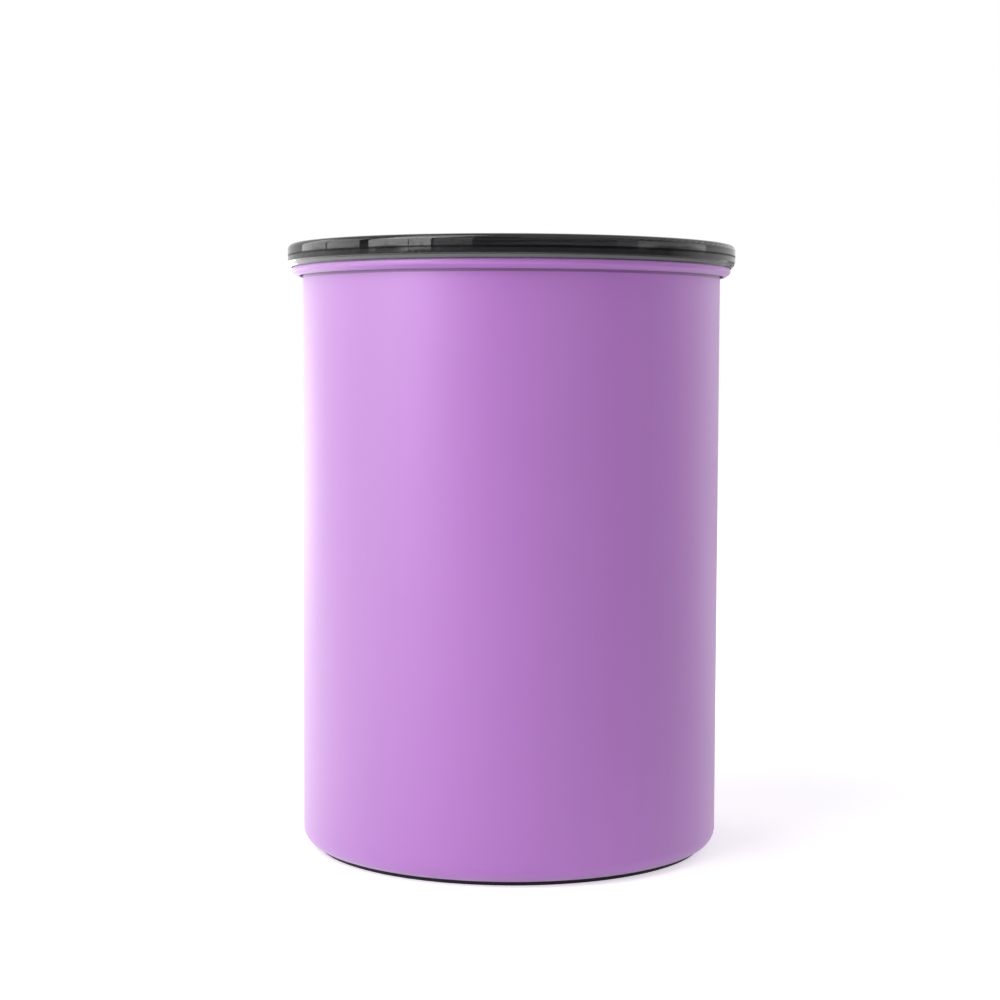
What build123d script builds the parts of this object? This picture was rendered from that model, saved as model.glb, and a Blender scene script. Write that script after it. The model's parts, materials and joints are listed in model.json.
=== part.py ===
from build123d import *
import os
from math import cos, dist, pi, radians, sin

# Coffee canister with a plunging inner lid that carries a valve.
# Millimetres, +Z up. The origin is under the centre, on the surface that the canister stands on.
# The handle of the inner lid is hinged on a line along X and lies folded towards -Y.

os.makedirs("parts", exist_ok=True)

# Steel shell
canister_height = 169.9  # to the top of the rolled rim
body_radius = 61.0
sheet = 0.7
corner_radius = 4.2  # outside, between the wall and the base
bead_projection = 3.0  # of the rolled rim, outside the wall
rim_corner = 0.8  # outside, on the edges of the rim's flat top
bead_upright = 0.6  # upright stretch on the outside of the rim
tuck_radius = 0.8
tuck_turn = 55.0  # degrees, of the rolled edge back towards the wall
curl_gap = 0.9  # between the rolled edge and the wall
base_land = 9.2  # flat of the base, between its corner and the panel pressed up into it
panel_rise = 2.0
panel_slope = 1.6
panel_bend = 1.6

# Rubber ring under the base
foot_height = 1.1
foot_width = 8.4
foot_lip_width = 1.4
foot_lip_height = 1.3
foot_lip_gap = 1.6
foot_groove_width = 1.0
foot_groove_depth = 0.4
foot_groove_count = 2

# Outer lid of tinted plastic
lid_wall = 1.15
skirt_gap = 0.25  # around the rolled rim
skirt_lap = 0.4  # below the top of the rim
skirt_lip = 0.3  # width of the skirt's lower edge
skirt_bevel = 1.5
stacking_ring = 3.0  # thickness of the lid over the rim
stacking_depth = 1.7
stacking_gap = 2.6  # around the foot of a canister standing on this one
stacking_slope = 1.0
lid_panel = 1.7
lid_corner = 1.4
plug_gap = 0.3
plug_wall = 1.6
plug_depth = 4.0
plug_corner = 0.6

# Seal in the outer lid
seal_thickness = 2.95
seal_gap = 0.15  # over the rim
seal_edge_gap = 0.1  # around the plug
seal_skirt_gap = 1.35
seal_corner = 0.4

# Inner lid
plate = 2.4
inner_lid_height = 15.0
flange_gap = 1.1  # between its flanges and the canister
flange_thickness = 1.8
gasket_groove = 2.0
rim_wall = 2.2
rib_count = 12
rib_width = 1.6
rib_height = 1.2
rib_gap = 1.5  # from the valve housing
gusset_length = 5.0
gusset_height = 8.5
inner_lid_corner = 0.7

# Wiping gasket
wipe_gap = 0.3
gasket_hub = 1.7
lip_count = 3
lip_root = 1.7
lip_tip = 0.6
lip_lift = 1.1

# Valve housing
housing_border = 3.65  # outside the ears
housing_flange = 2.4
seat_bore = 13.0
seat_width = 2.4
seat_rise = 1.4
seat_corner = 0.3
spigot_wall = 6.8
spigot_gap = 0.2
hub_radius = 6.4
hub_drop = 1.2
spoke_count = 4
spoke_width = 2.4
guard_gap = 0.9  # between the cap and the guard wall round it
guard_wall = 1.6
guard_height = 4.2
guard_slot = 6.0
guard_slot_count = 8
boss_border = 1.1  # from a boss to the edge of the housing
boss_radius = 3.3
boss_height = 3.2
boss_corner = 0.8
ear_thickness = 4.4
ear_gap = 1.8  # from the cap's edge
ear_foot = 17.0
ear_head = 4.6

# Seal under the housing
ring_section = 1.4  # square
ring_offset = 2.6  # from the spigot to the middle of the seal
ring_gap = 0.2

# Housing screws
screw_count = 4
screw_radius = 1.4
screw_head = 2.9
head_angle = 90.0  # degrees, of the countersunk heads
screw_tip_cover = 0.8  # plastic left over the screw's tip
screw_gap = 0.06
drive_slot_width = 0.8
drive_slot_depth = 0.7

# Valve
valve_travel = 3.0
seat_gap = 0.15
seal_disc = 1.4
seal_overhang = 1.4  # beyond the seat on either side
poppet_disc = 2.0
poppet_edge = 0.4  # beyond the seal
seal_locator = 1.6
seal_locator_drop = 1.1
stem_radius = 2.5
stem_gap = 0.08
stem_end = 1.3  # below the clip
stem_corner = 0.6
clip_radius = 4.6
clip_thickness = 0.6
clip_groove = 0.5
clip_gap = 0.1
clip_mouth_share = 0.85  # of the groove's diameter
cap_skirt = 2.8
cap_gap = 0.15
cap_top = 1.9
cap_skirt_drop = 1.4
cap_edge = 0.8
pad_inset = 0.6
pad_width = 6.6
pad_length = 10.0
pad_rise = 0.6

# Screw in the middle of the cap
cap_screw_radius = 1.1
cap_screw_head = 2.8
cap_screw_head_height = 1.2
cap_screw_head_gap = 0.3
cap_screw_corner = 0.5
cap_screw_length = 8.0
cap_screw_drill = 1.0  # past the screw's tip

# Valve spring
spring_wire = 0.9
spring_radius = 5.2  # to the middle of the wire
spring_turns = 3
spring_gap = 0.15

# Handle
handle_reach = 40.0
handle_thickness = 5.0
arm_width = 7.5
arm_gap = 0.3  # from the ears
grip_width = 7.0
handle_corner = 13.0
handle_edge = 1.6
cam_gap = 0.25
cam_closed = 7.0
cam_corner = 0.9
headroom = 3.0  # between the raised handle and the outer lid

# Handle pins
pin_radius = 1.5
pin_gap = 0.08
pin_head = 2.8
pin_head_height = 1.0
pin_end_gap = 1.0

# Levels and radii of the shell
inner_radius = body_radius - sheet
bead_radius = body_radius + bead_projection
upright_foot_z = canister_height - rim_corner - bead_upright
floor_edge_z = foot_height + sheet
floor_z = floor_edge_z + panel_rise
foot_radius = body_radius - corner_radius
panel_radius = foot_radius - base_land - panel_slope

# Levels and radii of the outer lid
skirt_radius = bead_radius + skirt_gap
lid_radius = skirt_radius + lid_wall
skirt_z = canister_height - skirt_lap
roof_z = canister_height + seal_gap + seal_thickness
lid_top_z = roof_z + stacking_ring
panel_top_z = lid_top_z - stacking_depth
panel_under_z = panel_top_z - lid_panel
stacking_radius = foot_radius + stacking_gap
plug_radius = inner_radius - plug_gap
plug_z = canister_height - plug_depth

# Heights of the valve above the underside of the inner lid
flange_top = plate + housing_flange
seat_top = flange_top + seat_rise
poppet_under = seat_top + seat_gap + seal_disc
poppet_top = poppet_under + poppet_disc
cap_face = poppet_top + cap_top
pad_face = cap_face + pad_rise
pivot_height = pad_face + cam_gap + cam_closed
clip_top = -hub_drop - clip_gap - valve_travel
stem_foot = clip_top - clip_thickness - stem_end

# Radii of the valve
spigot_radius = seat_bore + spigot_wall
seat_radius = seat_bore + seat_width
seal_radius = seat_radius + seal_overhang
seal_bore = seat_bore - seal_overhang
poppet_radius = seal_radius + poppet_edge
cap_radius = poppet_radius + cap_gap + cap_skirt
guard_radius = cap_radius + guard_gap
ear_face = cap_radius + ear_gap
housing_radius = ear_face + ear_thickness + housing_border
boss_circle = housing_radius - boss_border - boss_radius
ring_circle = spigot_radius + ring_offset
cap_screw_seat = cap_face - cap_screw_head_height
stem_drill_foot = cap_screw_seat - cap_screw_length - cap_screw_drill

# The arms of the handle stand inside the ears, over the cap's pads
arm_face = ear_face - arm_gap
cam_middle = arm_face - arm_width / 2

# The inner lid waits low enough for its handle to stand up under the closed outer lid
plate_z = panel_under_z - headroom - handle_reach - pivot_height
lid_section = Plane(origin=(0, 0, plate_z), x_dir=(1, 0, 0), z_dir=(0, -1, 0))

# Radii of the inner lid
flange_radius = inner_radius - flange_gap
groove_radius = flange_radius - gasket_groove
dish_radius = groove_radius - rim_wall
gasket_radius = inner_radius - wipe_gap

# The housing screws go in from below
underside = Plane(origin=(0, 0, plate_z), x_dir=(1, 0, 0), z_dir=(0, 0, -1))


def screw_places():
    """The places of the housing screws on a flat plane."""
    return PolarLocations(boss_circle, screw_count, start_angle=180 / screw_count)


def level(height):
    """The flat plane at a height above the underside of the inner lid."""
    return Plane.XY.offset(plate_z + height)


def across(side):
    """The plane square to the hinge line, side millimetres along it, centred on the hinge."""
    return Plane(origin=(side, 0, plate_z + pivot_height), x_dir=(0, 1, 0), z_dir=(1, 0, 0))


# Canister body: one sheet from the middle of the base, up the wall and round the rolled rim.
# The path is the middle of the sheet, and its rolled edge stops short of the wall.
half_sheet = sheet / 2
tuck = radians(tuck_turn)
hem_run = bead_projection - sheet - curl_gap - (tuck_radius - half_sheet) * (1 - cos(tuck))
with BuildPart() as canister_body:
    with BuildSketch(Plane.XZ):
        with BuildLine():
            sheet_path = FilletPolyline(
                (0, floor_z - half_sheet),
                (panel_radius, floor_z - half_sheet),
                (panel_radius + panel_slope, floor_edge_z - half_sheet),
                (inner_radius + half_sheet, floor_edge_z - half_sheet),
                (inner_radius + half_sheet, canister_height - half_sheet),
                (bead_radius - half_sheet, canister_height - half_sheet),
                (bead_radius - half_sheet, upright_foot_z),
                radius=[panel_bend, panel_bend, corner_radius - half_sheet] + 2 * [rim_corner - half_sheet],
            )
            under = JernArc(sheet_path @ 1, sheet_path % 1, tuck_radius - half_sheet, -tuck_turn)
            PolarLine(under @ 1, hem_run / sin(tuck), direction=under % 1)
            offset(amount=half_sheet)
        make_face()
        split(bisect_by=Plane.YZ)
    revolve(axis=Axis.Z)
canister_body.part.label = "canister_body"
export_step(canister_body.part, "parts/canister_body.step")

# Base ring: sits under the flat of the base, with a lip that centres it in the pressed panel
ring_bore = foot_radius - foot_width
lip_outer = panel_radius - foot_lip_gap
groove_pitch = foot_width / (foot_groove_count + 1)
with BuildPart() as base_ring:
    with BuildSketch(Plane.XZ):
        with BuildLine():
            Polyline(
                (lip_outer - foot_lip_width, 0),
                (foot_radius, 0),
                (foot_radius, foot_height),
                (ring_bore, foot_height),
                (lip_outer, foot_height / 2),
                (lip_outer, foot_height + foot_lip_height),
                (lip_outer - foot_lip_width, foot_height + foot_lip_height),
                close=True,
            )
        make_face()
        with Locations((ring_bore + foot_width / 2, 0)):
            with GridLocations(groove_pitch, groove_pitch, foot_groove_count, 1):
                Rectangle(foot_groove_width, 2 * foot_groove_depth, mode=Mode.SUBTRACT)
    revolve(axis=Axis.Z)
base_ring.part.label = "base_ring"
export_step(base_ring.part, "parts/base_ring.step")

# Outer lid: a skirt round the rim, a plug in the mouth and a ring that keeps a stack in place
with BuildPart() as outer_lid:
    with BuildSketch(Plane.XZ) as lid_profile:
        with BuildLine():
            Polyline(
                (0, panel_under_z),
                (plug_radius - plug_wall, panel_under_z),
                (plug_radius - plug_wall, plug_z),
                (plug_radius, plug_z),
                (plug_radius, roof_z),
                (skirt_radius, roof_z),
                (skirt_radius, skirt_z),
                (skirt_radius + skirt_lip, skirt_z),
                (lid_radius, skirt_z + skirt_bevel),
                (lid_radius, lid_top_z),
                (stacking_radius + stacking_slope, lid_top_z),
                (stacking_radius, panel_top_z),
                (0, panel_top_z),
                close=True,
            )
        make_face()
        fillet(lid_profile.vertices().group_by(Axis.Y)[-1], lid_corner)
        chamfer(lid_profile.vertices().group_by(Axis.Y)[0], plug_corner)
    revolve(axis=Axis.Z)
outer_lid.part.label = "outer_lid"
export_step(outer_lid.part, "parts/outer_lid.step")

# Lid seal: a flat ring in the outer lid that lies on the rim
with BuildPart() as lid_seal:
    with BuildSketch(Plane.XY.offset(roof_z)):
        Circle(skirt_radius - seal_skirt_gap)
        Circle(plug_radius + seal_edge_gap, mode=Mode.SUBTRACT)
    extrude(amount=-seal_thickness)
    chamfer(lid_seal.edges().group_by(Axis.Z)[0], seal_corner)
lid_seal.part.label = "lid_seal"
export_step(lid_seal.part, "parts/lid_seal.step")

# One rib of the inner lid's floor, which rises into a gusset at the wall
rib_start = housing_radius + rib_gap
with BuildPart() as floor_rib:
    with BuildSketch(lid_section):
        with BuildLine():
            Polyline(
                (rib_start, plate),
                (rib_start + rib_height, plate + rib_height),
                (dish_radius - gusset_length, plate + rib_height),
                (dish_radius, plate + gusset_height),
                (dish_radius + rim_wall / 2, plate + gusset_height),
                (dish_radius + rim_wall / 2, plate / 2),
                (rib_start, plate / 2),
                close=True,
            )
        make_face()
    extrude(amount=rib_width / 2, both=True)

# Inner lid: a dish with a ribbed floor, a groove round its wall and a hole for the valve
with BuildPart() as inner_lid:
    with BuildSketch(lid_section) as dish_profile:
        with BuildLine():
            Polyline(
                (spigot_radius + spigot_gap, 0),
                (flange_radius, 0),
                (flange_radius, flange_thickness),
                (groove_radius, flange_thickness),
                (groove_radius, inner_lid_height - flange_thickness),
                (flange_radius, inner_lid_height - flange_thickness),
                (flange_radius, inner_lid_height),
                (dish_radius, inner_lid_height),
                (dish_radius, plate),
                (spigot_radius + spigot_gap, plate),
                close=True,
            )
        make_face()
        chamfer(dish_profile.vertices().group_by(Axis.Y)[-1], inner_lid_corner)
    revolve(axis=Axis.Z)
    with PolarLocations(0, rib_count, start_angle=180 / rib_count):
        add(floor_rib.part)
    with Locations(underside):
        with screw_places():
            CounterSinkHole(screw_radius + screw_gap, screw_head + screw_gap, plate, head_angle)
inner_lid.part.label = "inner_lid"
export_step(inner_lid.part, "parts/inner_lid.step")

# Wiping gasket: a hub in the groove of the inner lid, with lips that flare up towards the wall
hub_face = groove_radius + gasket_hub
hub_height = inner_lid_height - 2 * flange_thickness
lip_pitch = hub_height / lip_count
lowest_root = flange_thickness + lip_pitch / 2
with BuildPart() as wiper_gasket:
    with BuildSketch(lid_section):
        with Locations(((groove_radius + hub_face) / 2, inner_lid_height / 2)):
            Rectangle(gasket_hub, hub_height)
        for lip in range(lip_count):
            root = lowest_root + lip_pitch * lip
            with BuildLine():
                Polyline(
                    (hub_face - gasket_hub / 2, root - lip_root / 2),
                    (hub_face, root - lip_root / 2),
                    (gasket_radius, root + lip_lift - lip_tip / 2),
                    (gasket_radius, root + lip_lift + lip_tip / 2),
                    (hub_face, root + lip_root / 2),
                    (hub_face - gasket_hub / 2, root + lip_root / 2),
                    close=True,
                )
            make_face()
    revolve(axis=Axis.Z)
wiper_gasket.part.label = "wiper_gasket"
export_step(wiper_gasket.part, "parts/wiper_gasket.step")

# Valve housing: a flange with a spigot through the inner lid. The spigot holds the seat and,
# on spokes, the guide of the stem. A slotted wall guards the cap, and two ears carry the handle.
ring_groove = ring_section + 2 * ring_gap
boss_top = flange_top + boss_height
ear_sink = (housing_flange - ring_section) / 2
with BuildPart() as valve_housing:
    with BuildSketch(lid_section) as housing_profile:
        with BuildLine():
            Polyline(
                (seat_bore, 0),
                (spigot_radius, 0),
                (spigot_radius, plate),
                (ring_circle - ring_groove / 2, plate),
                (ring_circle - ring_groove / 2, plate + ring_section),
                (ring_circle + ring_groove / 2, plate + ring_section),
                (ring_circle + ring_groove / 2, plate),
                (housing_radius, plate),
                (housing_radius, flange_top),
                (seat_radius, flange_top),
                (seat_radius, seat_top),
                (seat_bore, seat_top),
                close=True,
            )
        make_face()
        chamfer(housing_profile.vertices().group_by(Axis.Y)[-1], seat_corner)
    revolve(axis=Axis.Z)
    with BuildSketch(level(flange_top)):
        with screw_places():
            Circle(boss_radius)
    extrude(amount=boss_height)
    chamfer(valve_housing.edges().group_by(Axis.Z)[-1], boss_corner)
    with BuildSketch(level(0)):
        with PolarLocations(0, spoke_count):
            Rectangle(seat_bore + spigot_wall / 2, spoke_width, align=(Align.MIN, Align.CENTER))
    extrude(amount=plate)
    with BuildSketch(level(-hub_drop)):
        Circle(hub_radius)
    extrude(amount=hub_drop + plate)
    with BuildSketch(level(flange_top)):
        Circle(guard_radius + guard_wall)
        Circle(guard_radius, mode=Mode.SUBTRACT)
        with PolarLocations(guard_radius, guard_slot_count, start_angle=180 / guard_slot_count):
            Rectangle(3 * guard_wall, guard_slot, mode=Mode.SUBTRACT)
    extrude(amount=guard_height)
    for side in (ear_face, -ear_face - ear_thickness):
        with BuildSketch(across(side)):
            Circle(ear_head)
            with Locations((0, flange_top - pivot_height)):
                Rectangle(ear_foot, ear_sink, align=(Align.CENTER, Align.MAX))
            make_hull()
        extrude(amount=ear_thickness)
    with BuildSketch(across(0)):
        Circle(pin_radius)
    extrude(amount=housing_radius, both=True, mode=Mode.SUBTRACT)
    with BuildSketch(level(-hub_drop)):
        Circle(stem_radius + stem_gap)
    extrude(amount=flange_top, mode=Mode.SUBTRACT)
    with Locations(level(plate)):
        with screw_places():
            Hole(screw_radius + screw_gap, depth=2 * (boss_top - plate - screw_tip_cover))
valve_housing.part.label = "valve_housing"
export_step(valve_housing.part, "parts/valve_housing.step")

# Housing seal: a square-section ring in the groove under the housing
with BuildPart() as housing_seal:
    with BuildSketch(lid_section):
        with Locations((ring_circle, plate + ring_section / 2)):
            Rectangle(ring_section, ring_section)
    revolve(axis=Axis.Z)
housing_seal.part.label = "housing_seal"
export_step(housing_seal.part, "parts/housing_seal.step")

# Housing screws: countersunk, with a slot across the head
screw_length = boss_top - screw_tip_cover
with BuildPart() as housing_screw:
    with BuildSketch(lid_section):
        with BuildLine():
            Polyline(
                (0, 0),
                (screw_head, 0),
                (screw_radius, screw_head - screw_radius),
                (screw_radius, screw_length - screw_radius),
                (0, screw_length),
                close=True,
            )
        make_face()
    revolve(axis=Axis.Z)
    with BuildSketch(underside):
        Rectangle(2 * screw_head, drive_slot_width)
    extrude(amount=-drive_slot_depth, mode=Mode.SUBTRACT)
with BuildPart() as housing_screws:
    with screw_places():
        add(housing_screw.part)
housing_screws.part.label = "housing_screws"
export_step(housing_screws.part, "parts/housing_screws.step")

# Valve poppet: a disc with a locating ring for the seal and a stem through the guide
with BuildPart() as valve_poppet:
    with BuildSketch(lid_section):
        with BuildLine():
            Polyline(
                (cap_screw_radius, stem_drill_foot),
                (cap_screw_radius, poppet_top),
                (poppet_radius, poppet_top),
                (poppet_radius, poppet_under),
                (seal_bore, poppet_under),
                (seal_bore, poppet_under - seal_locator_drop),
                (seal_bore - seal_locator, poppet_under - seal_locator_drop),
                (seal_bore - seal_locator, poppet_under),
                (stem_radius, poppet_under),
                (stem_radius, clip_top),
                (stem_radius - clip_groove, clip_top),
                (stem_radius - clip_groove, clip_top - clip_thickness),
                (stem_radius, clip_top - clip_thickness),
                (stem_radius, stem_foot + stem_corner),
                (stem_radius - stem_corner, stem_foot),
                (0, stem_foot),
                (0, stem_drill_foot),
                close=True,
            )
        make_face()
    revolve(axis=Axis.Z)
valve_poppet.part.label = "valve_poppet"
export_step(valve_poppet.part, "parts/valve_poppet.step")

# Valve seal: a soft washer under the disc
with BuildPart() as valve_seal:
    with BuildSketch(level(poppet_under)):
        Circle(seal_radius)
        Circle(seal_bore, mode=Mode.SUBTRACT)
    extrude(amount=-seal_disc)
valve_seal.part.label = "valve_seal"
export_step(valve_seal.part, "parts/valve_seal.step")

# Stem clip: a split ring in the groove at the foot of the stem
clip_mouth = 2 * (stem_radius - clip_groove) * clip_mouth_share
with BuildPart() as stem_clip:
    with BuildSketch(level(clip_top)):
        Circle(clip_radius)
        Circle(stem_radius - clip_groove, mode=Mode.SUBTRACT)
        Rectangle(clip_radius, clip_mouth, align=(Align.MIN, Align.CENTER), mode=Mode.SUBTRACT)
    extrude(amount=-clip_thickness)
stem_clip.part.label = "stem_clip"
export_step(stem_clip.part, "parts/stem_clip.step")

# Valve cap: covers the disc and carries the two pads that the cams press
with BuildPart() as valve_cap:
    with BuildSketch(lid_section) as cap_profile:
        with BuildLine():
            Polyline(
                (0, poppet_top),
                (poppet_radius + cap_gap, poppet_top),
                (poppet_radius + cap_gap, poppet_top - cap_skirt_drop),
                (cap_radius, poppet_top - cap_skirt_drop),
                (cap_radius, cap_face),
                (0, cap_face),
                close=True,
            )
        make_face()
        fillet(cap_profile.vertices().group_by(Axis.Y)[-1].sort_by(Axis.X)[-1], cap_edge)
    revolve(axis=Axis.Z)
    with BuildSketch(level(cap_face - cap_edge)):
        Circle(cap_radius - cap_edge - pad_inset)
        with GridLocations(2 * cam_middle, pad_length, 2, 1):
            Rectangle(pad_width, pad_length, mode=Mode.INTERSECT)
    extrude(amount=cap_edge + pad_rise)
    with Locations(level(cap_face)):
        CounterBoreHole(
            cap_screw_radius + screw_gap,
            cap_screw_head + cap_screw_head_gap,
            cap_screw_head_height,
            depth=cap_top,
        )
valve_cap.part.label = "valve_cap"
export_step(valve_cap.part, "parts/valve_cap.step")

# Cap screw: a domed head with a cross slot, in the middle of the cap
with BuildPart() as cap_screw:
    with BuildSketch(level(cap_screw_seat)):
        Circle(cap_screw_head)
    extrude(amount=cap_screw_head_height - cap_screw_head_gap)
    fillet(cap_screw.edges().group_by(Axis.Z)[-1], cap_screw_corner)
    with BuildSketch(level(cap_screw_seat)):
        Circle(cap_screw_radius)
    extrude(amount=-cap_screw_length)
    with BuildSketch(level(cap_face - cap_screw_head_gap)):
        with PolarLocations(0, 2, angular_range=90, endpoint=True):
            Rectangle(cap_screw_head, drive_slot_width)
    extrude(amount=-drive_slot_depth, mode=Mode.SUBTRACT)
cap_screw.part.label = "cap_screw"
export_step(cap_screw.part, "parts/cap_screw.step")

# Valve spring: open turns between the guide and the disc, each of two half-turn arcs that climb
spring_foot = plate + spring_gap + spring_wire / 2
spring_head = poppet_under - spring_gap - spring_wire / 2
spring_pitch = (spring_head - spring_foot) / spring_turns


def coil_point(turn):
    """A point on the middle of the spring's wire, that many turns up from its foot."""
    angle = 2 * pi * turn
    height = plate_z + spring_foot + spring_pitch * turn
    return (spring_radius * cos(angle), spring_radius * sin(angle), height)


with BuildPart() as valve_spring:
    with BuildLine() as coil:
        for half in range(2 * spring_turns):
            turn = half / 2
            ThreePointArc(coil_point(turn), coil_point(turn + 1 / 4), coil_point(turn + 1 / 2))
    with BuildSketch(Plane(origin=coil.line @ 0, z_dir=coil.line % 0)):
        Circle(spring_wire / 2)
    sweep(path=coil.line)
valve_spring.part.label = "valve_spring"
export_step(valve_spring.part, "parts/valve_spring.step")

samples_per_turn = 48
samples = [coil_point(n / samples_per_turn) for n in range(spring_turns * samples_per_turn + 1)]
coil_gap = min(
    dist(samples[first], samples[second]) - spring_wire
    for first in range(len(samples))
    for second in range(first + samples_per_turn // 2, len(samples))
)
print("least gap between the spring's turns, mm:", round(coil_gap, 3))

# Handle: a flat bail whose two arms end in cams round the hinge pins. A cam's working side
# keeps its distance from the cap in step with the turn: it shortens evenly from the closed
# face to the open one, so the cap rises evenly as the handle is raised.
quarter_turn = pi / 2
cam_open = cam_closed - valve_travel
cam_rate = valve_travel / quarter_turn
cam_shares = [0, 1 / 4, 1 / 2, 3 / 4, 1]


def cam_point(share):
    """A point on the cam's working side, at a share of the way from closed to open."""
    turn = share * quarter_turn
    reach = cam_closed - valve_travel * share
    return (
        reach * sin(turn) - cam_rate * cos(turn),
        -reach * cos(turn) - cam_rate * sin(turn),
    )


hinge_level = level(pivot_height - handle_thickness / 2)
with BuildPart() as handle:
    with BuildSketch(hinge_level) as bail:
        with Locations((0, -handle_reach / 2)):
            Rectangle(2 * arm_face, handle_reach)
        fillet(bail.vertices().group_by(Axis.Y)[0], handle_corner)
    extrude(amount=handle_thickness)
    with BuildSketch(hinge_level) as finger_gap:
        with Locations((0, grip_width - handle_reach)):
            Rectangle(
                2 * (arm_face - arm_width),
                handle_reach,
                align=(Align.CENTER, Align.MIN),
            )
        fillet(finger_gap.vertices().group_by(Axis.Y)[0], handle_corner - grip_width)
    extrude(amount=handle_thickness, mode=Mode.SUBTRACT)
    fillet(handle.edges().group_by(Axis.Z)[-1], handle_edge)
    fillet(handle.edges().group_by(Axis.Z)[0], handle_edge)
    for side in (arm_face - arm_width, -arm_face):
        with BuildSketch(across(side)):
            with BuildLine():
                rise = Spline(
                    [cam_point(share) for share in cam_shares],
                    tangents=[(1, 0), (0, 1)],
                )
                back = Line(rise @ 1, (cam_open, 0))
                crown = CenterArc((0, 0), cam_open, 0, 180)
                FilletPolyline(
                    crown @ 1,
                    (-cam_open, -cam_closed),
                    rise @ 0,
                    radius=cam_corner,
                )
            make_face()
        extrude(amount=arm_width)
    with BuildSketch(across(0)):
        Circle(pin_radius + pin_gap)
    extrude(amount=ear_face, both=True, mode=Mode.SUBTRACT)
handle.part.label = "handle"
export_step(handle.part, "parts/handle.step")

# Handle pins: pressed through the ears from outside, free in the arms
pin_inner = arm_face - arm_width + pin_end_gap
with BuildPart() as handle_pins:
    for turn in (1, -1):
        outward = Plane(
            origin=(turn * pin_inner, 0, plate_z + pivot_height),
            x_dir=(0, 1, 0),
            z_dir=(turn, 0, 0),
        )
        with BuildSketch(outward):
            Circle(pin_radius)
        extrude(amount=ear_face + ear_thickness - pin_inner)
        with BuildSketch(outward.offset(ear_face + ear_thickness - pin_inner)):
            Circle(pin_head)
        extrude(amount=pin_head_height)
handle_pins.part.label = "handle_pins"
export_step(handle_pins.part, "parts/handle_pins.step")
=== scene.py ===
import json
from math import cos, pi, radians, sin

import bpy
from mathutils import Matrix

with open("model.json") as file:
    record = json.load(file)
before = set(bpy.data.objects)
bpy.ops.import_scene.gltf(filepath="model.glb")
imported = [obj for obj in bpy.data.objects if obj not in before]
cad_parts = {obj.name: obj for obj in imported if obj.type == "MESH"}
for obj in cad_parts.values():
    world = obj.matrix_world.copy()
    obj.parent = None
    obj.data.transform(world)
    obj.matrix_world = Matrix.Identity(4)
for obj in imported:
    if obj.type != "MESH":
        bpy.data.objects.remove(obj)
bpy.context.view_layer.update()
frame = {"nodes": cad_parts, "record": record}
bpy.ops.object.select_all(action="DESELECT")  # load leaves the nodes selected
cadNodes = frame["nodes"]
mm = 0.001
print("frame loaded:", len(cadNodes), "nodes")


# The camera stands where the photograph was taken from: millimetres, metres and degrees
cameraSet = {
    "lens": 75.34,
    "sensor": 36.0,
    "near": 0.01,
    "back": 0.61827,
    "height": 0.141527,
    "pitchDown": 3.71,
    "turn": 0.301,
    "roll": -0.23,
}


def makeCamera():
    tilt = radians(90 - cameraSet["pitchDown"])
    bpy.ops.object.camera_add(
        location=(0, -cameraSet["back"], cameraSet["height"]),
        rotation=(tilt, radians(cameraSet["roll"]), radians(cameraSet["turn"])),
    )
    camera = bpy.context.object
    camera.data.lens = cameraSet["lens"]
    camera.data.sensor_width = cameraSet["sensor"]
    camera.data.clip_start = cameraSet["near"]
    bpy.context.scene.camera = camera


makeCamera()
print("camera placed")


# Soft boxes that face the canister's axis: degrees from the camera's side and above the horizon, and metres.
# Those without gloss give the colour. Those without diffuse are mirrored: the lid's wall shows what stands 0.21 to
# 0.23 m high, so most of them begin there.
usualFar = 0.9
lampSet = {
    "keyBox": {"azimuth": -50, "rise": 45, "far": 1.6, "middle": 1.22, "width": 0.9, "height": 1.4, "radiance": 3.5},
    "sideBox": {"azimuth": -76, "middle": 0.3, "width": 0.3, "height": 0.6, "radiance": 3.1, "gloss": False},
    "frontFill": {"azimuth": 25, "middle": 0.35, "width": 0.5, "height": 0.7, "radiance": 1.6, "gloss": False},
    "backLeft": {"azimuth": -135, "middle": 0.4, "width": 0.64, "height": 0.8, "radiance": 2.2, "gloss": False},
    "backRight": {"azimuth": 132, "middle": 0.4, "width": 0.42, "height": 0.8, "radiance": 3.8, "gloss": False},
    "windowBox": {"azimuth": -44.5, "middle": 0.51, "width": 0.18, "height": 0.58, "radiance": 4.6, "diffuse": False},
    "windowSide": {"azimuth": -28, "middle": 0.51, "width": 0.3, "height": 0.58, "radiance": 1.0, "diffuse": False},
    "glossWall": {"azimuth": -62, "middle": 0.51, "width": 0.36, "height": 0.58, "radiance": 4.5, "diffuse": False},
    "sideWall": {"azimuth": -91, "middle": 0.51, "width": 0.38, "height": 0.58, "radiance": 2.4, "diffuse": False},
    "cornerWall": {"azimuth": -117, "middle": 0.51, "width": 0.4, "height": 0.58, "radiance": 1.9, "diffuse": False},
    "rightSide": {"azimuth": 58, "middle": 0.29, "width": 0.2, "height": 0.134, "radiance": 0.6, "diffuse": False},
    "rightWall": {"azimuth": 88, "middle": 0.29, "width": 0.8, "height": 0.134, "radiance": 1.35, "diffuse": False},
    "lowWall": {"azimuth": -72, "middle": 0.11, "width": 1.3, "height": 0.215, "radiance": 0.4, "diffuse": False},
    "rimLeft": {"azimuth": -147, "middle": 0.1, "width": 0.6, "height": 0.2, "radiance": 2.8, "diffuse": False},
}


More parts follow.
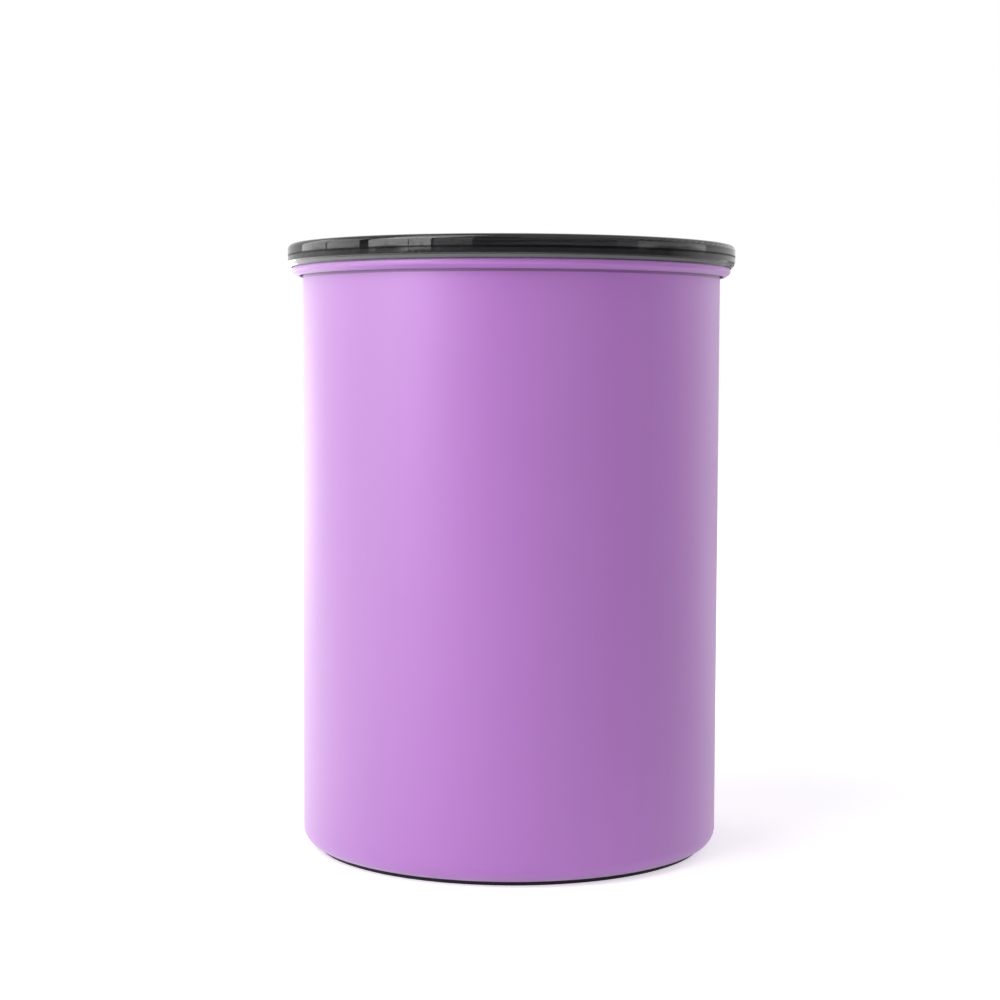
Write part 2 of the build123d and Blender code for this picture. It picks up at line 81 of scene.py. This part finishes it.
def makeLamp(name, values):
    side, rise = radians(values["azimuth"]), radians(values.get("rise", 0))
    out = values.get("far", usualFar) * cos(rise)
    bpy.ops.object.light_add(
        type="AREA",
        location=(out * sin(side), -out * cos(side), values["middle"]),
        rotation=(radians(90) - rise, 0, side),
    )
    lamp = bpy.context.object
    lamp.name = name
    lamp.data.shape = "RECTANGLE"
    lamp.data.size = values["width"]
    lamp.data.size_y = values["height"]
    lamp.data.energy = values["radiance"] * values["width"] * values["height"] * pi
    lamp.visible_diffuse = values.get("diffuse", True)
    lamp.visible_glossy = values.get("gloss", True)
    lamp.visible_transmission = False


for name, values in lampSet.items():
    makeLamp(name, values)


# Node helpers: a socket as a value is linked, anything else is set
def putNode(tree, kind, inputs=None, **settings):
    node = tree.nodes.new(kind)
    for key, value in settings.items():
        setattr(node, key, value)
    for key, value in (inputs or {}).items():
        if isinstance(value, bpy.types.NodeSocket):
            tree.links.new(value, node.inputs[key])
        else:
            node.inputs[key].default_value = value
    return node


def maths(tree, operation, first, second=0.0, third=0.0):
    return putNode(tree, "ShaderNodeMath", {0: first, 1: second, 2: third}, operation=operation).outputs[0]


def mixColour(tree, factor, first, second):
    node = putNode(tree, "ShaderNodeMix", data_type="RGBA")
    for index, value in ((0, factor), (6, first), (7, second)):
        if isinstance(value, bpy.types.NodeSocket):
            tree.links.new(value, node.inputs[index])
        else:
            node.inputs[index].default_value = (*value, 1)
    return node.outputs[2]


def scaled(colour, times, plus=0.0):
    return tuple(part * times + plus for part in colour)


def newFinish(name):
    finish = bpy.data.materials.new(name)
    finish.use_nodes = True
    tree = finish.node_tree
    tree.nodes.clear()
    place = putNode(tree, "ShaderNodeTexCoord").outputs["Object"]
    output = putNode(tree, "ShaderNodeOutputMaterial")
    return finish, tree, place, output


def stretched(tree, place, scale):
    return putNode(tree, "ShaderNodeMapping", {"Vector": place, "Scale": scale}).outputs["Vector"]


def noise(tree, place, scale, detail=2.0, rough=0.5):
    return putNode(
        tree, "ShaderNodeTexNoise", {"Vector": place, "Scale": scale, "Detail": detail, "Roughness": rough}
    ).outputs["Fac"]


def bumped(tree, height, strength, distance):
    inputs = {"Height": height, "Strength": strength, "Distance": distance}
    return putNode(tree, "ShaderNodeBump", inputs).outputs["Normal"]


def ramp(tree, value, start, end, first=0.0, last=1.0):
    inputs = {"Value": value, "From Min": start, "From Max": end, "To Min": first, "To Max": last}
    return putNode(tree, "ShaderNodeMapRange", inputs).outputs["Result"]


def polar(tree, place):
    parts = putNode(tree, "ShaderNodeSeparateXYZ", {"Vector": place}).outputs
    squares = [maths(tree, "MULTIPLY", part, part) for part in parts[:2]]
    return parts, maths(tree, "SQRT", maths(tree, "ADD", *squares))


def ringPlace(tree, parts, radius, along):
    # streaks that run round the axis: quick change with height and radius, slow change around
    return putNode(tree, "ShaderNodeCombineXYZ", {
        "X": maths(tree, "MULTIPLY", parts[0], along),
        "Y": maths(tree, "MULTIPLY", parts[1], along),
        "Z": maths(tree, "ADD", parts[2], radius),
    }).outputs[0]


# Surround: white to the eye, and in reflections white behind the canister and overhead, dim on the camera's side
surround = {
    "seen": 1.0,
    "front": 0.1,
    "behind": 0.88,
    "diffuse": 0.22,
    "behindFade": (-0.1, 0.3),
    "overheadFade": (0.4, 0.7),
}


def makeSurround():
    world = bpy.data.worlds.new("paleRoom")
    bpy.context.scene.world = world
    world.use_nodes = True
    tree = world.node_tree
    tree.nodes.clear()
    place = putNode(tree, "ShaderNodeTexCoord").outputs["Object"]
    way = putNode(tree, "ShaderNodeSeparateXYZ", {"Vector": place}).outputs
    behind = ramp(tree, way[1], *surround["behindFade"])
    overhead = ramp(tree, way[2], *surround["overheadFade"])
    pale = maths(tree, "MAXIMUM", behind, overhead)
    mirrored = ramp(tree, pale, 0, 1, surround["front"], surround["behind"])
    rays = putNode(tree, "ShaderNodeLightPath").outputs
    straight = maths(tree, "MAXIMUM", rays["Is Camera Ray"], rays["Is Transmission Ray"])
    bounced = putNode(tree, "ShaderNodeMix", {0: rays["Is Glossy Ray"], 2: surround["diffuse"], 3: mirrored})
    strength = putNode(tree, "ShaderNodeMix", {0: straight, 2: bounced.outputs[0], 3: surround["seen"]})
    light = putNode(tree, "ShaderNodeBackground", {"Color": (1, 1, 1, 1), "Strength": strength.outputs[0]})
    output = putNode(tree, "ShaderNodeOutputWorld")
    tree.links.new(light.outputs[0], output.inputs["Surface"])


makeSurround()

# Floor: glows near and far from the canister, and in reflections more on the lit side than on the dim one
floorSet = {
    "half": 3.0,
    "colour": (0.85, 0.85, 0.85),
    "glow": (0.5, 0.84),
    "glowFade": (0.45, 1.0),
    "mirrored": (1.5, 0.05),
    "mirroredFade": (-0.2, 0.2),
}


def makeFloor():
    bpy.ops.mesh.primitive_plane_add(size=2 * floorSet["half"], location=(0, 0, 0))
    floor = bpy.context.object
    floor.name = "paleFloor"
    finish, tree, place, output = newFinish("paleFloorPaint")
    rays = putNode(tree, "ShaderNodeLightPath").outputs
    seen = maths(tree, "MAXIMUM", rays["Is Camera Ray"], rays["Is Transmission Ray"])
    paint = putNode(tree, "ShaderNodeBsdfDiffuse", {"Color": (*floorSet["colour"], 1)})
    parts, radius = polar(tree, place)
    strength = ramp(tree, radius, *floorSet["glowFade"], *floorSet["glow"])
    mirrored = ramp(tree, parts[0], *floorSet["mirroredFade"], *floorSet["mirrored"])
    shown = maths(tree, "MULTIPLY_ADD", rays["Is Glossy Ray"], mirrored, maths(tree, "MULTIPLY", seen, strength))
    glow = putNode(tree, "ShaderNodeEmission", {"Color": (1, 1, 1, 1), "Strength": shown})
    both = putNode(tree, "ShaderNodeAddShader", {0: paint.outputs[0], 1: glow.outputs[0]})
    tree.links.new(both.outputs[0], output.inputs["Surface"])
    floor.data.materials.append(finish)


makeFloor()
print("lamps, surround and floor made")


# Coated steel of the canister: powder coat outside, drawn bare steel inside.
# Roughness goes from its least to its most, a bump has its strength and height, a texture its scale per metre.
canisterSet = {
    "coat": (0.453, 0.149, 0.583),
    "coatDeep": (0.437, 0.140, 0.565),
    "drift": 35,
    "coatRough": (0.40, 0.50),
    "shine": 1.0,
    "sheen": 0.35,
    "sheenRough": 0.6,
    "pebble": 0.45 * mm,
    "fineShare": 0.4,
    "pebbleBump": (0.25, 0.06 * mm),
    "coatTop": 169.3 * mm,
    # painted shade under the rim's curl: where the coat is darkened, and how deep the darkened colour goes
    "curlEdge": (167.3 * mm, 166.6 * mm),
    "curlDepth": 0.4 * mm,
    "curlShadeShare": 0.5,
    "steel": (0.70, 0.69, 0.68),
    "steelRough": (0.38, 0.56),
    "lines": 2600,
    "linesAround": 6.0,
    "linesBump": (0.2, 0.02 * mm),
}


def bareInside(tree, parts, radius):
    # the surface faces the axis or upwards, below the rolled rim
    normal = putNode(tree, "ShaderNodeTexCoord").outputs["Normal"]
    facing = putNode(tree, "ShaderNodeSeparateXYZ", {"Vector": normal}).outputs
    flat = [maths(tree, "MULTIPLY", part, side) for part, side in zip(parts[:2], facing[:2])]
    outward = maths(tree, "DIVIDE", maths(tree, "ADD", *flat), maths(tree, "MAXIMUM", radius, 0.1 * mm))
    inward = maths(tree, "SUBTRACT", facing[2], maths(tree, "MULTIPLY", outward, 0.5))
    turned = maths(tree, "GREATER_THAN", inward, 0.1)
    return maths(tree, "MULTIPLY", turned, maths(tree, "LESS_THAN", parts[2], canisterSet["coatTop"]))


def coatColour(tree, place, parts):
    drift = noise(tree, place, canisterSet["drift"], 3)
    colour = mixColour(tree, drift, canisterSet["coat"], canisterSet["coatDeep"])
    # the coat lies in shade at the lower edge of the rim's curl
    start, end = canisterSet["curlEdge"]
    shaded = ramp(tree, parts[2], start, end)
    onCurl = maths(tree, "GREATER_THAN", parts[2], end - canisterSet["curlDepth"])
    dark = scaled(canisterSet["coatDeep"], canisterSet["curlShadeShare"])
    return mixColour(tree, maths(tree, "MULTIPLY", shaded, onCurl), colour, dark)


def coatedSteel():
    finish, tree, place, output = newFinish("coatedSteel")
    parts, radius = polar(tree, place)
    bare = bareInside(tree, parts, radius)
    pebble = noise(tree, place, 1 / canisterSet["pebble"], 2)
    fine = noise(tree, place, 3 / canisterSet["pebble"], 1)
    grain = maths(tree, "MULTIPLY_ADD", fine, canisterSet["fineShare"], pebble)
    coat = putNode(tree, "ShaderNodeBsdfPrincipled", {
        "Base Color": coatColour(tree, place, parts),
        "Roughness": ramp(tree, pebble, 0, 1, *canisterSet["coatRough"]),
        "Specular IOR Level": canisterSet["shine"],
        "Sheen Weight": canisterSet["sheen"],
        "Sheen Roughness": canisterSet["sheenRough"],
        "Normal": bumped(tree, grain, *canisterSet["pebbleBump"]),
    })
    lines = noise(tree, ringPlace(tree, parts, radius, canisterSet["linesAround"]), canisterSet["lines"], 3, 0.7)
    steel = putNode(tree, "ShaderNodeBsdfPrincipled", {
        "Base Color": (*canisterSet["steel"], 1),
        "Metallic": 1.0,
        "Roughness": ramp(tree, lines, 0.3, 0.7, *canisterSet["steelRough"]),
        "Normal": bumped(tree, lines, *canisterSet["linesBump"]),
    })
    both = putNode(tree, "ShaderNodeMixShader", {0: bare, 1: coat.outputs[0], 2: steel.outputs[0]})
    tree.links.new(both.outputs[0], output.inputs["Surface"])
    return finish


# Smoke-tinted clear plastic of the outer lid. The upright wall is deeper. A matt grey band along its lower edge is a
# painted highlight, a faint share of the same grey above it is a painted glow, and a dark parting line lies above:
# each of these bands has its low end, its high end and its share.
smokeSet = {
    "tint": (0.32, 0.32, 0.34),
    "wallTint": (0.017, 0.017, 0.019),
    "lipRadius": 64.3 * mm,
    "rough": (0.03, 0.11),
    "wear": 700,
    "ior": 1.49,
    "ripple": 30,
    "rippleBump": (0.05, 0.4 * mm),
    "shade": (0.52, 0.52, 0.54),
    # the grey and roughness of the painted highlight band at the lower edge, then where it and the faint painted glow
    # above it lie
    "edge": (0.13, 0.13, 0.14),
    "edgeRough": 0.4,
    "edgeBand": (169.75 * mm, 170.55 * mm, 0.85),
    "faintGlowBand": (170.55 * mm, 172.3 * mm, 0.12),
    "seam": (0.003, 0.003, 0.003),
    "seamRough": 0.6,
    "seamShine": 0.1,
    "seamBand": (172.4 * mm, 172.95 * mm, 0.75),
    "bandFade": 0.1 * mm,
}


def smokePlastic():
    finish, tree, place, output = newFinish("smokePlastic")
    parts, radius = polar(tree, place)
    lip = maths(tree, "GREATER_THAN", radius, smokeSet["lipRadius"])
    fade = smokeSet["bandFade"]

    def band(name):
        low, high, share = smokeSet[name]
        above = ramp(tree, parts[2], low - fade, low + fade)
        below = ramp(tree, parts[2], high + fade, high - fade)
        return maths(tree, "MULTIPLY", maths(tree, "MULTIPLY", lip, share), maths(tree, "MULTIPLY", above, below))

    # painted highlight: a matt grey band along the lower edge, with a faint painted glow of the same grey above it
    edge = maths(tree, "ADD", band("edgeBand"), band("faintGlowBand"))
    waves = noise(tree, stretched(tree, place, (1, 1, 4)), smokeSet["ripple"], 2)
    ripple = bumped(tree, waves, *smokeSet["rippleBump"])
    wear = noise(tree, place, smokeSet["wear"], 3, 0.6)
    clear = putNode(tree, "ShaderNodeBsdfPrincipled", {
        "Base Color": mixColour(tree, lip, smokeSet["tint"], smokeSet["wallTint"]),
        "Roughness": ramp(tree, wear, 0.55, 0.75, *smokeSet["rough"]),
        "IOR": smokeSet["ior"],
        "Transmission Weight": 1.0,
        "Normal": ripple,
    })
    highlightFinish = putNode(tree, "ShaderNodeBsdfPrincipled", {
        "Base Color": (*smokeSet["edge"], 1),
        "Roughness": smokeSet["edgeRough"],
        "IOR": smokeSet["ior"],
        "Normal": ripple,
    })
    withPaintedLight = putNode(tree, "ShaderNodeMixShader", {0: edge, 1: clear.outputs[0], 2: highlightFinish.outputs[0]})
    seam = putNode(tree, "ShaderNodeBsdfPrincipled", {
        "Base Color": (*smokeSet["seam"], 1),
        "Roughness": smokeSet["seamRough"],
        "Specular IOR Level": smokeSet["seamShine"],
    })
    solid = putNode(tree, "ShaderNodeMixShader", {0: band("seamBand"), 1: withPaintedLight.outputs[0], 2: seam.outputs[0]})
    # light that only passes through is tinted and not bent, so that the inside isn't black
    passing = putNode(tree, "ShaderNodeBsdfTransparent", {"Color": (*smokeSet["shade"], 1)})
    rays = putNode(tree, "ShaderNodeLightPath").outputs
    both = putNode(tree, "ShaderNodeMixShader", {0: rays["Is Shadow Ray"], 1: solid.outputs[0], 2: passing.outputs[0]})
    tree.links.new(both.outputs[0], output.inputs["Surface"])
    return finish


# Rubbers and silicones. Grain, height and depth (how far light goes into the clear one) are in metres.
softSet = {
    "blackRubber": {
        "colour": (0.009, 0.008, 0.010), "rough": 0.62, "grain": 0.3 * mm, "height": 0.03 * mm, "shine": 0.25,
    },
    "blackSilicone": {
        "colour": (0.007, 0.007, 0.008), "rough": 0.42, "grain": 0.8 * mm, "height": 0.015 * mm, "shine": 0.4,
    },
    "clearSilicone": {
        "colour": (0.66, 0.66, 0.63), "rough": 0.38, "grain": 0.9 * mm, "height": 0.015 * mm, "shine": 0.5,
        "depth": 1.5 * mm,
    },
}
softCloud = 60
softBump = 0.35
roughSpread = 0.1


def softFinish(name):
    values = softSet[name]
    finish, tree, place, output = newFinish(name)
    grain = noise(tree, place, 1 / values["grain"], 3, 0.6)
    cloud = noise(tree, place, softCloud, 2)
    body = putNode(tree, "ShaderNodeBsdfPrincipled", {
        "Base Color": mixColour(tree, cloud, values["colour"], scaled(values["colour"], 1.35, 0.004)),
        "Roughness": ramp(tree, grain, 0, 1, values["rough"] - roughSpread, values["rough"] + roughSpread),
        "Specular IOR Level": values["shine"],
        "Normal": bumped(tree, grain, softBump, values["height"]),
    })
    if "depth" in values:
        body.inputs["Subsurface Weight"].default_value = 0.5
        body.inputs["Subsurface Radius"].default_value = (0.8, 0.8, 0.7)
        body.inputs["Subsurface Scale"].default_value = values["depth"]
    tree.links.new(body.outputs[0], output.inputs["Surface"])
    return finish


# Moulded plastics: spark-eroded texture, a satin one and the handle's soft gloss. Grain and height are in metres,
# and scuff is the roughness that wear adds.
mouldedSet = {
    "charcoalPlastic": {
        "colour": (0.030, 0.030, 0.033), "rough": 0.5, "grain": 0.28 * mm, "height": 0.035 * mm, "scuff": 0.10,
    },
    "greyPlastic": {
        "colour": (0.135, 0.135, 0.145), "rough": 0.42, "grain": 0.4 * mm, "height": 0.015 * mm, "scuff": 0.08,
    },
    "blackPlastic": {
        "colour": (0.016, 0.016, 0.018), "rough": 0.30, "grain": 0.7 * mm, "height": 0.01 * mm, "scuff": 0.12,
    },
}
mouldedFlow = 45
mouldedScratch = 160
mouldedBump = 0.4
flowSpread = 0.06


def mouldedFinish(name):
    values = mouldedSet[name]
    finish, tree, place, output = newFinish(name)
    cells = putNode(
        tree, "ShaderNodeTexVoronoi", {"Vector": place, "Scale": 1 / values["grain"]}, feature="SMOOTH_F1"
    ).outputs["Distance"]
    spark = maths(tree, "MULTIPLY_ADD", noise(tree, place, 2 / values["grain"], 2), 0.6, cells)
    flow = noise(tree, stretched(tree, place, (1, 1, 0.4)), mouldedFlow, 4, 0.6)
    scratch = noise(tree, stretched(tree, place, (1, 14, 3)), mouldedScratch, 3, 0.7)
    worn = ramp(tree, scratch, 0.6, 0.75)
    even = maths(tree, "MULTIPLY_ADD", flow, 2 * flowSpread, values["rough"] - flowSpread)
    body = putNode(tree, "ShaderNodeBsdfPrincipled", {
        "Base Color": mixColour(tree, flow, values["colour"], scaled(values["colour"], 1.3, 0.006)),
        "Roughness": maths(tree, "MULTIPLY_ADD", worn, values["scuff"], even),
        "Normal": bumped(tree, spark, mouldedBump, values["height"]),
    })
    tree.links.new(body.outputs[0], output.inputs["Surface"])
    return finish


# Turned and drawn steel of the small parts
steelSet = {
    "colour": (0.58, 0.57, 0.56),
    "deeper": 0.86,
    "cloud": 300,
    "rough": (0.19, 0.39),
    "lines": 5200,
    "linesAround": 30.0,
    "linesBump": (0.15, 0.01 * mm),
}


def plainSteel():
    finish, tree, place, output = newFinish("plainSteel")
    lines = noise(tree, ringPlace(tree, *polar(tree, place), steelSet["linesAround"]), steelSet["lines"], 2, 0.6)
    cloud = noise(tree, place, steelSet["cloud"], 2)
    body = putNode(tree, "ShaderNodeBsdfPrincipled", {
        "Base Color": mixColour(tree, cloud, steelSet["colour"], scaled(steelSet["colour"], steelSet["deeper"])),
        "Metallic": 1.0,
        "Roughness": ramp(tree, lines, 0, 1, *steelSet["rough"]),
        "Normal": bumped(tree, lines, *steelSet["linesBump"]),
    })
    tree.links.new(body.outputs[0], output.inputs["Surface"])
    return finish


finishes = {
    "coated_steel": coatedSteel(),
    "smoke_plastic": smokePlastic(),
    "black_rubber": softFinish("blackRubber"),
    "black_silicone": softFinish("blackSilicone"),
    "clear_silicone": softFinish("clearSilicone"),
    "charcoal_plastic": mouldedFinish("charcoalPlastic"),
    "grey_plastic": mouldedFinish("greyPlastic"),
    "black_plastic": mouldedFinish("blackPlastic"),
    "plain_steel": plainSteel(),
}
for part in frame["record"]["subparts"]:
    for materialSlot in cadNodes[part["node"]].material_slots:
        materialSlot.material = finishes[part["material_slot"]]
print("finishes given to", len(cadNodes), "nodes")

bpy.context.scene.view_settings.view_transform = "Standard"
